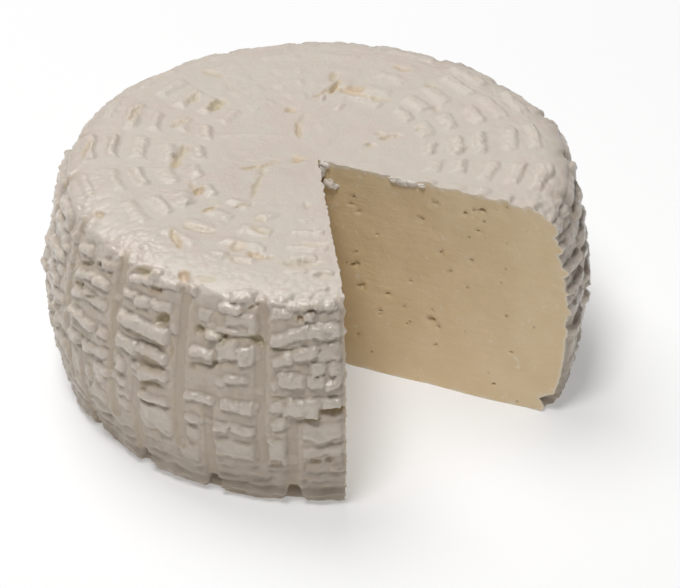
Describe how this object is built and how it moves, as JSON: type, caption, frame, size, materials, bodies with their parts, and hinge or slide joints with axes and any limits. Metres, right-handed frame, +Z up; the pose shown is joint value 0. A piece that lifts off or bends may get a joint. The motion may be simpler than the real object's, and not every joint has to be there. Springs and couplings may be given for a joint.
{
  "type": "basket-moulded fresh cheese wheel",
  "caption": "Round wheel of white fresh cheese marked by its basket mould, with upright grooves and rows of bars on its side, and a wedge cut out of it",
  "frame": {"origin": "Middle of the flat base, on the wheel's axis, which is also the bottom centre of its box.", "axes": "+Z up along the wheel's axis. One cut face lies in the plane X = 0, on the -Y side, and looks towards +X. The other stands 60.5 degrees further round, so the missing wedge opens towards +X and -Y."},
  "size_m": [0.1993, 0.2006, 0.0874],
  "materials": {
    "cheese": "Moist white fresh cheese: an ivory rind with a satin sheen, and smooth, slightly yellower paste on the two cut faces."
  },
  "bodies": {
    "root": {"cheese": "cheese"}
  },
  "joints": []
}
